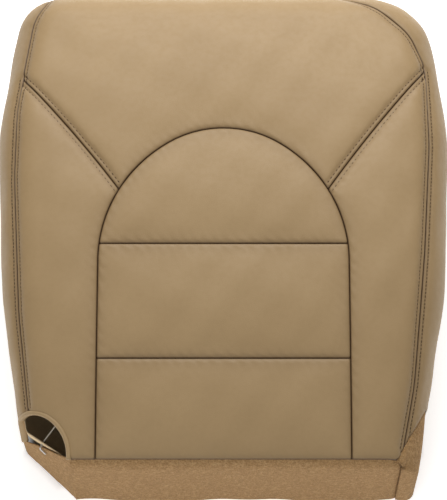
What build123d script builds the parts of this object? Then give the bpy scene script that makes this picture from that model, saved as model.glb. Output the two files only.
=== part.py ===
from build123d import *
import os
from math import atan2, cos, degrees, radians, sin, sqrt

# Fitted cover for the bottom cushion of a truck seat, in its worn shape.
# +X is the occupant's right, +Y runs towards the front edge, +Z is up.
# The origin is at floor level, in the middle of the cover's outline. Millimetres.

# ---- plan outline ----
half_width = 256.0            # at the widest point
bulge_y = 110.0               # where the sides are widest
waist_y = -80.0               # where the sides start to run in towards the back
waist_taper = 9.5             # how far the sides have run in at waist_y
left_rear_taper = 39.0        # and at tail_y
right_rear_taper = 44.0
tail_y = -276.0
front_y = 288.0               # front face
front_taper = 22.0            # how far the sides run in towards the front corners
left_corner_radius = 52.0
right_corner_radius = 76.0
side_blend_radius = 200.0     # at the bulge and the waist
rear_seam_y = -271.0          # where the seat leather ends
rear_hem_y = -288.0           # lower edge of the rear flap

# ---- height ----
crown_height = 147.0          # highest point of the seat surface
crown_y = 60.0                # where that is
crown_radius = 2000.0         # slow fall to the front and back, seen from the side
shoulder_radius = 45.0        # roll between the seat surface and the sides

# ---- materials ----
leather = 1.2
padding = 5.0                 # foam laminated behind the leather
carpet = 3.0
band = 1.6                    # doubled fabric inside the hem
band_height = 52.0
band_gap = 2.0                # between the hem band and the padding above it

# ---- seams seen in plan ----
seam_inset = 20.0             # side seam, in from the outline
left_front_seam_inset = 34.0  # seam down the front left corner, in from the corner
right_front_seam_inset = 102.0   # seam down the front face, in from the right corner
front_seam_blend = 16.0
arch_half_width = 139.0
arch_shoulder_y = -50.0       # the arch's sides are straight behind this
arch_apex_y = 107.0
arch_top_radius = 116.0
front_cross_y = -32.0
rear_cross_y = -162.0
diagonal_x = 117.0            # where each diagonal seam meets the arch
diagonal_y = 33.0
diagonal_angle = 52.1         # from the X axis

# ---- recliner cut-out, rear left ----
cutout_radius = 47.0
cutout_rim = 4.2              # bound edge
cutout_y = -267.0
tab_height = 57.0             # carpet left standing at the cut-out's front end
tab_top_gap = 1.0             # its higher end, below the foam
chamfer_x = 53.0              # the hem cuts across the corner
side_end_left_y = -232.0

# ---- rear right wing ----
wing_top_inset = 23.0         # its seam with the leather starts this far in from the outline
wing_angle = 61.4             # forwards and outwards at this angle
wing_rear_y = -283.0
flap_right_gap = 16.0         # from the flap's edge to the corner of the outline
piece_gap = 0.6               # free edges side by side

# ---- rear flap ----
bead_radius = 1.6             # rolled top edge that the flap folds about
fold_gap = 0.8
flap_corner_drop = 26.0       # its top right corner is cut away under the shoulder
floor_gap = 1.0

# ---- retainers ----
retainer_hinge_z = 46.0
retainer_floor_gap = 3.0
tape = 1.0
tape_overlap = 6.0            # tape sewn to the hook strip
tape_bead = 0.9
hook_thickness = 2.0
hook_stem = 24.0
hook_reach = 7.0
hook_lip = 9.0
wall_gap = 0.4
front_retainer_length = 260.0
front_retainer_x = -10.0      # its middle
side_retainer_length = 146.0
side_retainer_shift = 3.0     # behind the middle of the straight part of the side
rear_retainer_length = 240.0
rear_retainer_x = 18.0        # middle of the flap

# ---- listings ----
listing = 1.0
cross_listing_drop = 24.0
arch_listing_drop = 49.0       # from the crown to the lower edge
cross_listing_end_gap = 5.0
listing_wire_radius = 1.5
sleeve = 0.8
wire_end_gap = 4.0            # each wire stops short of its sleeve's ends
arch_listing_setback = 6.0    # its ends, in front of the rear seam

# ---- cord and clip in the cut-out ----
clip_wire_radius = 1.0
clip_gap = 0.9
clip_leg = 9.0
clip_place = 0.4              # share of the tab's top edge, from its front end
cord_radius = 0.8

# ---- worked out from the sizes above ----
far_y = 2 * rear_hem_y
block_height = crown_height + 10
waist_x = half_width - waist_taper
left_tail_x = half_width - left_rear_taper
right_tail_x = half_width - right_rear_taper
front_x = half_width - front_taper
left_front_seam_x = left_front_seam_inset - front_x
right_front_seam_x = front_x - right_front_seam_inset
wing_top_x = right_tail_x - wing_top_inset
flap_left_x = chamfer_x - left_tail_x
flap_right_x = right_tail_x - flap_right_gap
side_angle = degrees(atan2(waist_taper, bulge_y - waist_y))
inner_skin = leather + padding


def side_x(y, tail_x):
    """Half width on the straight run between the waist and the tail."""
    return waist_x + (tail_x - waist_x) * (waist_y - y) / (waist_y - tail_y)


def crown_z(y, inset=0.0):
    """Height of the seat surface, or of the surface that lies inset below it."""
    radius = crown_radius - inset
    return crown_height - crown_radius + sqrt(radius**2 - (y - crown_y) ** 2)


def save(piece, name):
    piece.part.label = name
    export_step(piece.part, "parts/" + name + ".step")


os.makedirs("parts", exist_ok=True)

# ================= regions in plan =================
left_far_x = side_x(far_y, left_tail_x)
right_far_x = side_x(far_y, right_tail_x)
with BuildSketch() as outline:
    with BuildLine():
        FilletPolyline(
            (-left_far_x, far_y),
            (-waist_x, waist_y),
            (-half_width, bulge_y),
            (-front_x, front_y),
            (front_x, front_y),
            (half_width, bulge_y),
            (waist_x, waist_y),
            (right_far_x, far_y),
            radius=[
                side_blend_radius,
                side_blend_radius,
                left_corner_radius,
                right_corner_radius,
                side_blend_radius,
                side_blend_radius,
            ],
        )
        Line((right_far_x, far_y), (-left_far_x, far_y))
    make_face()

# Everything inside the side seams, with the front panel running over the front edge.
with BuildSketch() as crown_region:
    add(outline.sketch)
    offset(amount=-seam_inset, kind=Kind.INTERSECTION)
    with BuildLine():
        Polyline(
            (left_front_seam_x, 0),
            (right_front_seam_x, 0),
            (right_front_seam_x, 2 * front_y),
            (left_front_seam_x, 2 * front_y),
            close=True,
        )
    make_face()
    fillet(
        [
            v
            for v in crown_region.vertices()
            if abs(v.Y - front_y + seam_inset) < seam_inset
            and min(abs(v.X - left_front_seam_x), abs(v.X - right_front_seam_x)) < 0.01
        ],
        radius=front_seam_blend,
    )

# The arch: a top arc met by two larger side arcs, then straight sides to the back.
arch_centre_y = arch_apex_y - arch_top_radius
arch_rise = arch_centre_y - arch_shoulder_y
arch_side_radius = arch_half_width**2 + arch_rise**2 - arch_top_radius**2
arch_side_radius /= 2 * (arch_half_width - arch_top_radius)
arch_turn = atan2(arch_rise, arch_side_radius - arch_half_width)
arch_meet_x = arch_top_radius * cos(arch_turn)
arch_meet_y = arch_centre_y + arch_top_radius * sin(arch_turn)


def arch_sketch(inset):
    """The arch region with its edge moved inwards."""
    half = arch_half_width - inset
    radius = arch_top_radius - inset
    meet_x = radius * cos(arch_turn)
    meet_y = arch_centre_y + radius * sin(arch_turn)
    with BuildSketch() as arch:
        with BuildLine():
            left_side = Line((-half, far_y), (-half, arch_shoulder_y))
            left_arc = TangentArc(left_side @ 1, (-meet_x, meet_y), tangent=(0, 1))
            top_arc = TangentArc(left_arc @ 1, (meet_x, meet_y), tangent=left_arc % 1)
            right_arc = TangentArc(top_arc @ 1, (half, arch_shoulder_y), tangent=top_arc % 1)
            Line(right_arc @ 1, (half, far_y))
            Line((half, far_y), (-half, far_y))
        make_face()
    return arch.sketch


# Everything behind the two diagonal seams, as one wedge pointing away from the front.
diagonal_slope = sin(radians(diagonal_angle)) / cos(radians(diagonal_angle))
diagonal_far_y = diagonal_y + diagonal_slope * (2 * half_width - diagonal_x)
diagonal_mid_y = diagonal_y - diagonal_slope * diagonal_x
with BuildSketch() as behind_diagonals:
    with BuildLine():
        Polyline(
            (0, diagonal_mid_y),
            (2 * half_width, diagonal_far_y),
            (2 * half_width, far_y),
            (-2 * half_width, far_y),
            (-2 * half_width, diagonal_far_y),
            close=True,
        )
    make_face()

# Where there is leather: in front of the rear seam, the rear right wing and the cut-out.
wing_slope = sin(radians(wing_angle)) / cos(radians(wing_angle))
wing_far_y = rear_seam_y + wing_slope * (2 * half_width - wing_top_x)
with BuildSketch() as leather_region:
    with BuildLine():
        Polyline(
            (-2 * half_width, rear_seam_y),
            (wing_top_x, rear_seam_y),
            (2 * half_width, wing_far_y),
            (2 * half_width, 2 * front_y),
            (-2 * half_width, 2 * front_y),
            close=True,
        )
    make_face()
    with Locations((-left_tail_x, cutout_y)):
        Circle(cutout_radius + cutout_rim, mode=Mode.SUBTRACT)


def strip(x_min, x_max, y_min, y_max):
    """A rectangle given by its edges."""
    with BuildSketch() as rectangle:
        with Locations(((x_min + x_max) / 2, (y_min + y_max) / 2)):
            Rectangle(x_max - x_min, y_max - y_min)
    return rectangle.sketch


wide = 2 * half_width
arch_region = arch_sketch(0)
left_side_region = strip(-wide, 0, side_end_left_y, 2 * front_y)
right_side_region = strip(0, wide, far_y, 2 * front_y)
regions = {
    "front_bolster": [crown_region.sketch, behind_diagonals.sketch, arch_region],
    "left_bolster": [crown_region.sketch, arch_region],
    "right_bolster": [crown_region.sketch, arch_region],
    "insert_front": [arch_region],
    "insert_middle": [arch_region],
    "insert_rear": [arch_region],
    "left_boxing": [left_side_region, crown_region.sketch],
    "right_boxing": [right_side_region, crown_region.sketch],
}
limits = {
    "left_bolster": [behind_diagonals.sketch, strip(-wide, 0, far_y, wide)],
    "right_bolster": [behind_diagonals.sketch, strip(0, wide, far_y, wide)],
    "insert_front": [strip(-wide, wide, front_cross_y, wide)],
    "insert_middle": [strip(-wide, wide, rear_cross_y, front_cross_y)],
    "insert_rear": [strip(-wide, wide, far_y, rear_cross_y)],
}


def crown(inset):
    """The full outer form, moved inwards: walls, rolled shoulders and seat surface."""
    with BuildPart() as form:
        with BuildSketch():
            add(outline.sketch)
            if inset:
                offset(amount=-inset, kind=Kind.INTERSECTION)
        extrude(amount=block_height)
        with BuildSketch(Plane.YZ):
            with Locations((crown_y, crown_height - crown_radius)):
                Circle(crown_radius - inset)
        extrude(amount=wide, both=True, mode=Mode.INTERSECT)
        seat = form.faces().sort_by(Axis.Z)[-1]
        fillet(seat.edges().sort_by(Axis.Y)[1:], radius=shoulder_radius - inset)
    return form.part


forms = {inset: crown(inset) for inset in (0, leather, carpet, inner_skin)}


def shell(outer, inner, bottom):
    """The skin between two insets, open underneath, standing on the bottom height."""
    with BuildPart() as skin:
        add(forms[outer])
        add(forms[inner], mode=Mode.SUBTRACT)
        split(bisect_by=Plane.XY.offset(bottom), keep=Keep.TOP)
    return skin.part


skins = {
    "": shell(0, leather, 0),
    "_foam": shell(leather, inner_skin, band_height + band_gap),
}

# ================= seat panels, each with its foam =================
for suffix, skin in skins.items():
    for name, (first, *taken_out) in regions.items():
        with BuildPart() as panel:
            add(skin)
            with BuildSketch():
                add(first)
                for region in taken_out:
                    add(region, mode=Mode.SUBTRACT)
                for region in limits.get(name, []):
                    add(region, mode=Mode.INTERSECT)
                add(leather_region.sketch, mode=Mode.INTERSECT)
            extrude(amount=block_height, mode=Mode.INTERSECT)
        save(panel, name + suffix)

# ================= bound edge round the cut-out =================
with BuildPart() as cutout_facing:
    add(forms[0])
    add(forms[inner_skin], mode=Mode.SUBTRACT)
    with BuildSketch():
        with Locations((-left_tail_x, cutout_y)):
            Circle(cutout_radius + cutout_rim)
            Circle(cutout_radius, mode=Mode.SUBTRACT)
        add(strip(-wide, 0, rear_seam_y, side_end_left_y), mode=Mode.INTERSECT)
    extrude(amount=block_height, mode=Mode.INTERSECT)
    split(bisect_by=Plane.XY.offset(tab_height), keep=Keep.TOP)
save(cutout_facing, "cutout_facing")

# ================= hem bands =================
with BuildPart() as band_ring:
    with BuildSketch():
        add(outline.sketch)
        offset(amount=-leather, kind=Kind.INTERSECTION)
    extrude(amount=band_height)
    with BuildSketch():
        add(outline.sketch)
        offset(amount=-leather - band, kind=Kind.INTERSECTION)
    extrude(amount=band_height, mode=Mode.SUBTRACT)

band_regions = {
    "left_hem_band": [left_side_region, strip(-wide, left_front_seam_x, -wide, wide)],
    "front_hem_band": [strip(left_front_seam_x, right_front_seam_x, 0, wide)],
    "right_hem_band": [right_side_region, strip(right_front_seam_x, wide, -wide, wide)],
}
for name, kept in band_regions.items():
    with BuildPart() as hem_band:
        add(band_ring.part)
        with BuildSketch():
            add(leather_region.sketch)
            for region in kept:
                add(region, mode=Mode.INTERSECT)
        extrude(amount=block_height, mode=Mode.INTERSECT)
    save(hem_band, name)

# ================= carpet at the rear corners =================
# The tab rises from the end of the side panel to the flap, and leans in as the flap does.
tab_end_x = -side_x(side_end_left_y, left_tail_x)
tab_inner_x = flap_left_x - piece_gap
tab_rear_height = crown_z(rear_seam_y, inner_skin) - tab_top_gap
with BuildPart() as left_rear_tab:
    with BuildSketch(Plane(origin=(0, side_end_left_y, 0), x_dir=(1, 0, 0), z_dir=(0, -1, 0))):
        with BuildLine():
            Polyline(
                (tab_end_x, 0),
                (tab_end_x + carpet, 0),
                (tab_end_x + carpet, tab_height),
                (tab_end_x, tab_height),
                close=True,
            )
        make_face()
    with BuildSketch(Plane(origin=(tab_inner_x, 0, 0), x_dir=(0, 1, 0), z_dir=(1, 0, 0))):
        with BuildLine():
            Polyline(
                (rear_hem_y, 0),
                (rear_hem_y + carpet, 0),
                (rear_seam_y + carpet, tab_rear_height),
                (rear_seam_y, tab_rear_height),
                close=True,
            )
        make_face()
    loft(ruled=True)
save(left_rear_tab, "left_rear_tab")

wing_inner_x = flap_right_x + piece_gap
with BuildSketch() as wing_region:
    with BuildLine():
        Polyline(
            (wing_inner_x, rear_seam_y + wing_slope * (wing_inner_x - wing_top_x)),
            (wide, wing_far_y),
            (wide, wing_rear_y),
            (wing_inner_x, wing_rear_y),
            close=True,
        )
    make_face()

with BuildPart() as wing_hollow:
    add(forms[carpet])
    split(bisect_by=Plane.XZ.offset(-wing_rear_y - carpet), keep=Keep.BOTTOM)

with BuildPart() as right_rear_wing:
    add(forms[0])
    add(wing_hollow.part, mode=Mode.SUBTRACT)
    with BuildSketch():
        add(wing_region.sketch)
    extrude(amount=block_height, mode=Mode.INTERSECT)
save(right_rear_wing, "right_rear_wing")

# ================= rear flap =================
# The plate hangs from a rolled bead below the foam and leans out towards its lower edge.
fold_y = rear_seam_y + bead_radius
fold_z = crown_z(rear_seam_y, inner_skin) - fold_gap - bead_radius
flap_foot_y = rear_hem_y + carpet / 2
flap_lean = degrees(atan2(fold_y - flap_foot_y, fold_z))
flap_length = (fold_z - floor_gap) / cos(radians(flap_lean)) - carpet / 2 * sin(radians(flap_lean))
flap_plane = Plane(
    origin=((flap_left_x + flap_right_x) / 2, fold_y, fold_z),
    x_dir=(1, 0, 0),
    z_dir=(0, -cos(radians(flap_lean)), sin(radians(flap_lean))),
)
flap_half = (flap_right_x - flap_left_x) / 2
bead_end_x = right_tail_x - shoulder_radius - fold_gap
corner_start = bead_end_x - (flap_left_x + flap_right_x) / 2
with BuildPart() as rear_flap:
    with BuildSketch(flap_plane):
        with BuildLine():
            Polyline(
                (-flap_half, 0),
                (corner_start, 0),
                (flap_half, -flap_corner_drop),
                (flap_half, -flap_length),
                (-flap_half, -flap_length),
                close=True,
            )
        make_face()
    extrude(amount=carpet / 2, both=True)
    with BuildSketch(Plane.YZ.offset(flap_left_x)):
        with Locations((fold_y, fold_z)):
            Circle(bead_radius)
    extrude(amount=bead_end_x - flap_left_x)
save(rear_flap, "rear_flap")

# ================= retainers =================
# Each is a folding tape with a hook strip, hanging straight down just inside its hem.
inward = radians(side_angle)
side_middle_y = (bulge_y + waist_y) / 2 - side_retainer_shift
side_middle_x = half_width - waist_taper * (bulge_y - side_middle_y) / (bulge_y - waist_y)
flap_face_y = fold_y - (fold_z - retainer_hinge_z) * (fold_y - flap_foot_y) / fold_z
flap_face_y += carpet / 2 / cos(radians(flap_lean))
retainers = {
    "front": (Vector(front_retainer_x, front_y - leather - band), Vector(0, -1), front_retainer_length),
    "left": (
        Vector(-side_middle_x, side_middle_y) + Vector(cos(inward), sin(inward)) * (leather + band),
        Vector(cos(inward), sin(inward)),
        side_retainer_length,
    ),
    "right": (
        Vector(side_middle_x, side_middle_y) + Vector(-cos(inward), sin(inward)) * (leather + band),
        Vector(-cos(inward), sin(inward)),
        side_retainer_length,
    ),
    "rear": (Vector(rear_retainer_x, flap_face_y), Vector(0, 1), rear_retainer_length),
}
hinge_offset = wall_gap + tape_bead
stem_face = hinge_offset + tape / 2
stem_top = retainer_floor_gap + hook_stem
tape_height = retainer_hinge_z - stem_top + tape_overlap
hook_width = 2 * hook_thickness + hook_reach

for name, (wall_point, into_cover, length) in retainers.items():
    # Seen along the hem: X points into the cover and Y points up.
    profile_plane = Plane(wall_point, x_dir=into_cover, z_dir=into_cover.cross(Vector(0, 0, 1)))
    with BuildPart() as retainer_tape:
        with BuildSketch(profile_plane):
            with Locations((hinge_offset, retainer_hinge_z - tape_height / 2)):
                Rectangle(tape, tape_height)
            with Locations((hinge_offset, retainer_hinge_z)):
                Circle(tape_bead)
        extrude(amount=length / 2, both=True)
    save(retainer_tape, name + "_retainer_tape")

    with BuildPart() as retainer_hook:
        with BuildSketch(profile_plane):
            with Locations((stem_face, retainer_floor_gap)):
                Rectangle(hook_thickness, hook_stem, align=(Align.MIN, Align.MIN))
                Rectangle(hook_width, hook_thickness, align=(Align.MIN, Align.MIN))
            with Locations((stem_face + hook_width - hook_thickness, retainer_floor_gap)):
                Rectangle(hook_thickness, hook_lip, align=(Align.MIN, Align.MIN))
        extrude(amount=length / 2, both=True)
    save(retainer_hook, name + "_retainer_hook")

# ================= listings under the inner seams =================
sleeve_radius = listing_wire_radius + sleeve
for name, seam_y in (("front_cross", front_cross_y), ("rear_cross", rear_cross_y)):
    half_length = arch_half_width - cross_listing_end_gap
    wire_z = crown_z(seam_y, inner_skin) - cross_listing_drop
    wire_plane = Plane.YZ.offset(-half_length)
    with BuildPart() as cross_listing:
        with BuildSketch(wire_plane):
            with Locations((seam_y, wire_z)):
                Rectangle(listing, block_height - wire_z, align=(Align.CENTER, Align.MIN))
                Circle(sleeve_radius)
                Circle(listing_wire_radius, mode=Mode.SUBTRACT)
        extrude(amount=2 * half_length)
        add(forms[inner_skin], mode=Mode.INTERSECT)
    save(cross_listing, name + "_listing")

    with BuildPart() as cross_wire:
        with BuildSketch(wire_plane.offset(wire_end_gap)):
            with Locations((seam_y, wire_z)):
                Circle(listing_wire_radius)
        extrude(amount=2 * (half_length - wire_end_gap))
    save(cross_wire, name + "_wire")

arch_wire_z = crown_height - arch_listing_drop + sleeve_radius
arch_start_y = rear_seam_y + arch_listing_setback
with BuildLine() as arch_path:
    path_side = Line((-arch_half_width, arch_start_y), (-arch_half_width, arch_shoulder_y))
    path_left = TangentArc(path_side @ 1, (-arch_meet_x, arch_meet_y), tangent=(0, 1))
    path_top = TangentArc(path_left @ 1, (arch_meet_x, arch_meet_y), tangent=path_left % 1)
    path_right = TangentArc(path_top @ 1, (arch_half_width, arch_shoulder_y), tangent=path_top % 1)
    Line(path_right @ 1, (arch_half_width, arch_start_y))
wire_path = Pos(0, 0, arch_wire_z) * arch_path.line

with BuildPart() as arch_wire:
    with BuildSketch(Plane(wire_path @ 0, z_dir=wire_path % 0)):
        Circle(listing_wire_radius)
    sweep(path=wire_path)
save(arch_wire, "arch_wire")

with BuildPart() as arch_listing:
    with BuildSketch(Plane.XY.offset(arch_wire_z)):
        add(arch_sketch(-listing / 2))
        add(arch_sketch(listing / 2), mode=Mode.SUBTRACT)
        add(strip(-wide, wide, arch_start_y, wide), mode=Mode.INTERSECT)
    extrude(amount=block_height - arch_wire_z)
    add(forms[inner_skin], mode=Mode.INTERSECT)
    with BuildSketch(Plane(wire_path @ 0, z_dir=wire_path % 0)):
        Circle(sleeve_radius)
    sweep(path=wire_path)
    add(arch_wire.part, mode=Mode.SUBTRACT)
save(arch_listing, "arch_listing")

# ================= cord and clip in the cut-out =================
# The clip straddles the top edge of the rear left tab, and a taut cord runs up to the rim.
tab_foot = Vector(tab_end_x, side_end_left_y, tab_height)
tab_peak = Vector(tab_inner_x, rear_seam_y, tab_rear_height)
tab_along = (tab_peak - tab_foot).normalized()
tab_inwards = Vector(0, 0, 1).cross(tab_along).normalized()
clip_plane = Plane(
    tab_foot + (tab_peak - tab_foot) * clip_place,
    x_dir=tab_inwards,
    z_dir=tab_along,
)
clip_clear = clip_wire_radius + clip_gap
with BuildPart() as corner_clip:
    with BuildLine(clip_plane) as clip_path:
        FilletPolyline(
            (-clip_clear, -clip_leg),
            (-clip_clear, clip_clear),
            (carpet + clip_clear, clip_clear),
            (carpet + clip_clear, -clip_leg),
            radius=clip_wire_radius * 1.5,
        )
    with BuildSketch(Plane(clip_path.line @ 0, z_dir=clip_path.line % 0)):
        Circle(clip_wire_radius)
    sweep(path=clip_path.line)
save(corner_clip, "corner_clip")

cord_foot = clip_plane.from_local_coords((carpet / 2, clip_clear + clip_wire_radius + clip_gap, 0))
cord_top = Vector(-left_tail_x, cutout_y) + Vector(1, 1).normalized() * (cutout_radius + cutout_rim / 2)
cord_top = Vector(cord_top.X, cord_top.Y, crown_z(cord_top.Y, inner_skin) - cord_radius - clip_gap)
with BuildPart() as corner_cord:
    with BuildLine() as cord_path:
        Line(cord_foot, cord_top)
    with BuildSketch(Plane(cord_foot, z_dir=cord_path.line % 0)):
        Circle(cord_radius)
    sweep(path=cord_path.line)
save(corner_cord, "corner_cord")
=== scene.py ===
import math
import bpy
import bmesh
import numpy as np
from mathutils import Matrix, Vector
from mathutils.bvhtree import BVHTree
from mathutils.interpolate import poly_3d_calc
from mathutils.geometry import delaunay_2d_cdt


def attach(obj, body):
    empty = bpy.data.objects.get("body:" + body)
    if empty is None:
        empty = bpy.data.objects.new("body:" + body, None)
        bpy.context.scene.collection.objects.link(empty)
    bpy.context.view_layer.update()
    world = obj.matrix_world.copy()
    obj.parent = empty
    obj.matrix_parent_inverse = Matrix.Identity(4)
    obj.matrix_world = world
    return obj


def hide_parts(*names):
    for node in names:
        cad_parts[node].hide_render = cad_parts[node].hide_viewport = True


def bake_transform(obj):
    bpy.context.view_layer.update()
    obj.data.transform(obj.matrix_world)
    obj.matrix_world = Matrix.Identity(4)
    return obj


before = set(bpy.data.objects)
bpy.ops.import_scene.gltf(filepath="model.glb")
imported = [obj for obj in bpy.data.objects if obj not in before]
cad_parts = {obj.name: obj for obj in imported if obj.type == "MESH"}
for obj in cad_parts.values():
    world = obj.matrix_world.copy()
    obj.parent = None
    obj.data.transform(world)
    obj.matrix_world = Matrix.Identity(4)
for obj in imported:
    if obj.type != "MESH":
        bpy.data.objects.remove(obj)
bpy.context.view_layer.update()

# the cover's form: a gently crowned top rolled over into upright walls
form = {
    "halfWidth": 0.256, "bulgeY": 0.110, "waistY": -0.080, "tailY": -0.276, "farY": -0.576,
    "waistTaper": 0.0095, "leftRearTaper": 0.039, "rightRearTaper": 0.044, "frontY": 0.288, "frontTaper": 0.022,
    "leftCorner": 0.052, "rightCorner": 0.076, "sideBlend": 0.200,
    "crownTop": 0.147, "crownY": 0.060, "crownRadius": 2.0, "shoulder": 0.045,
    "leather": 0.0012, "foam": 0.005, "carpet": 0.003,
}
rearSeamY = -0.271
rearHemY = -0.288
hemZ = 0.0004


def filletPath(points, radii, step, even=True):
    # straight runs joined by tangent arcs, evenly spaced, or spaced by angle round the arcs
    pts = [np.array(p, float) for p in points]
    out = [pts[0]]
    for i in range(1, len(pts) - 1):
        a, b, c = pts[i - 1], pts[i], pts[i + 1]
        u, v = (a - b) / np.linalg.norm(a - b), (c - b) / np.linalg.norm(c - b)
        turn = math.pi - math.acos(np.clip(u @ v, -1, 1))
        r = radii[i - 1]
        reach = r * math.tan(turn / 2)
        start, end = b + u * reach, b + v * reach
        middle = b + (u + v) / np.linalg.norm(u + v) * (r / math.cos(turn / 2))
        a0 = math.atan2(*(start - middle)[::-1])
        a1 = math.atan2(*(end - middle)[::-1])
        sweep = (a1 - a0 + math.pi) % (2 * math.pi) - math.pi
        n = max(2, int(abs(sweep) * max(r / step, 60)) + 1)
        straightRun = np.linalg.norm(start - out[-1])
        out += list(np.linspace(out[-1], start, int(straightRun / step) + 2)[1:-1])
        for k in range(n + 1):
            t = a0 + sweep * k / n
            out.append(middle + r * np.array([math.cos(t), math.sin(t)]))
    straightRun = np.linalg.norm(pts[-1] - out[-1])
    out += list(np.linspace(out[-1], pts[-1], int(straightRun / step) + 2)[1:])
    return resample(np.array(out), step) if even else np.array(out)


def resample(path, step, count=None):
    seg = np.linalg.norm(np.diff(path, axis=0), axis=1)
    keep = np.r_[True, seg > 1e-9]
    path = path[keep]
    along = np.r_[0, np.cumsum(np.linalg.norm(np.diff(path, axis=0), axis=1))]
    n = count or max(2, int(round(along[-1] / step)) + 1)
    at = np.linspace(0, along[-1], n)
    return np.stack([np.interp(at, along, path[:, k]) for k in range(path.shape[1])], axis=1)


def insetPolygon(points, inset):
    # an open run of corners moved to its right-hand side by inset
    pts = [np.array(p, float) for p in points]
    lines = []
    for a, b in zip(pts[:-1], pts[1:]):
        d = (b - a) / np.linalg.norm(b - a)
        lines.append((a + inset * np.array([d[1], -d[0]]), d))
    out = [lines[0][0]]
    for (p, d), (q, e) in zip(lines[:-1], lines[1:]):
        t = np.cross(q - p, e) / np.cross(d, e)
        out.append(p + t * d)
    length = np.linalg.norm(pts[-1] - pts[-2])
    out.append(lines[-1][0] + lines[-1][1] * length)
    return out


waistX = form["halfWidth"] - form["waistTaper"]
leftTailX = form["halfWidth"] - form["leftRearTaper"]
rightTailX = form["halfWidth"] - form["rightRearTaper"]
frontX = form["halfWidth"] - form["frontTaper"]


def sideX(y, tailX):
    return waistX + (tailX - waistX) * (form["waistY"] - y) / (form["waistY"] - form["tailY"])


corners = [
    (-sideX(form["farY"], leftTailX), form["farY"]), (-waistX, form["waistY"]), (-form["halfWidth"], form["bulgeY"]),
    (-frontX, form["frontY"]), (frontX, form["frontY"]), (form["halfWidth"], form["bulgeY"]),
    (waistX, form["waistY"]), (sideX(form["farY"], rightTailX), form["farY"]),
]
cornerRadii = [form["sideBlend"]] * 2 + [form["leftCorner"], form["rightCorner"]] + [form["sideBlend"]] * 2
core = filletPath(
    insetPolygon(corners, form["shoulder"]), [r - form["shoulder"] for r in cornerRadii], 0.001, even=False
)
coreStep = np.diff(core, axis=0)
coreLength = np.linalg.norm(coreStep, axis=1)
coreDir = coreStep / coreLength[:, None]
knotDir = np.vstack([coreDir[:1], coreDir[:-1] + coreDir[1:], coreDir[-1:]])
knotDir /= np.linalg.norm(knotDir, axis=1)[:, None]
knotOut = np.stack([-knotDir[:, 1], knotDir[:, 0]], axis=1)
quarter = math.pi / 2 * form["shoulder"]


def crownZ(y):
    return form["crownTop"] - form["crownRadius"] + np.sqrt(form["crownRadius"] ** 2 - (y - form["crownY"]) ** 2)


def nearestCore(points):
    # distance outside the flat top, the nearest point on its edge, and the way out
    points = np.asarray(points, float)
    foot, out, dist = np.zeros_like(points), np.zeros_like(points), np.zeros(len(points))
    for s in range(0, len(points), 4000):
        p = points[s:s + 4000]
        near = ((p[:, None, :] - core[None]) ** 2).sum(2).argmin(1)
        best = np.full(len(p), np.inf)
        for shift in (-1, 0):
            i = np.clip(near + shift, 0, len(coreStep) - 1)
            t = np.clip(((p - core[i]) * coreDir[i]).sum(1) / coreLength[i], 0, 1)
            q = core[i] + coreStep[i] * t[:, None]
            d = ((p - q) ** 2).sum(1)
            n = knotOut[i] * (1 - t)[:, None] + knotOut[i + 1] * t[:, None]
            n /= np.linalg.norm(n, axis=1)[:, None]
            side = ((p - q) * n).sum(1)
            use = d < best
            best = np.where(use, d, best)
            rows = np.arange(s, s + len(p))[use]
            foot[rows], out[rows] = q[use], n[use]
            dist[rows] = np.where(side[use] >= 0, np.sqrt(d[use]), -np.sqrt(d[use]))
    return dist, foot, out


def surface(points, lift=0.0):
    # flat pattern coordinates to the cover's outer surface, raised by lift along its normal
    points = np.asarray(points, float)
    dist, foot, out = nearestCore(points)
    r = form["shoulder"]
    outside = dist > 0
    roll = np.clip(dist / r, 0, math.pi / 2)
    drop = np.maximum(dist - quarter, 0)
    place = np.where(outside[:, None], foot, points)
    top = crownZ(place[:, 1])
    slope = -(place[:, 1] - form["crownY"]) / form["crownRadius"]
    sinRoll, cosRoll = np.where(outside, np.sin(roll), 0), np.where(outside, np.cos(roll), 1)
    pos = np.zeros((len(points), 3))
    pos[:, :2] = place + out * (r * sinRoll * outside)[:, None]
    pos[:, 2] = top - np.where(outside, r * (1 - cosRoll) + drop, 0)
    normal = np.zeros_like(pos)
    normal[:, :2] = out * (sinRoll * outside)[:, None]
    normal[:, 1] -= slope * cosRoll
    normal[:, 2] = cosRoll
    normal /= np.linalg.norm(normal, axis=1)[:, None]
    return pos + normal * np.asarray(lift).reshape(-1, 1), normal


def unroll(points):
    # plan coordinates on the top or shoulder to flat pattern coordinates
    points = np.asarray(points, float)
    dist, foot, out = nearestCore(points)
    flat = np.arcsin(np.clip(dist / form["shoulder"], 0, 1)) * form["shoulder"]
    return np.where((dist > 0)[:, None], foot + out * flat[:, None], points)


def wallPoint(points, z):
    # the pattern point straight down the wall from plan points on the outline, at height z
    dist, foot, out = nearestCore(points)
    down = quarter + crownZ(foot[:, 1]) - form["shoulder"] - z
    return foot + out * down[:, None]


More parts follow.
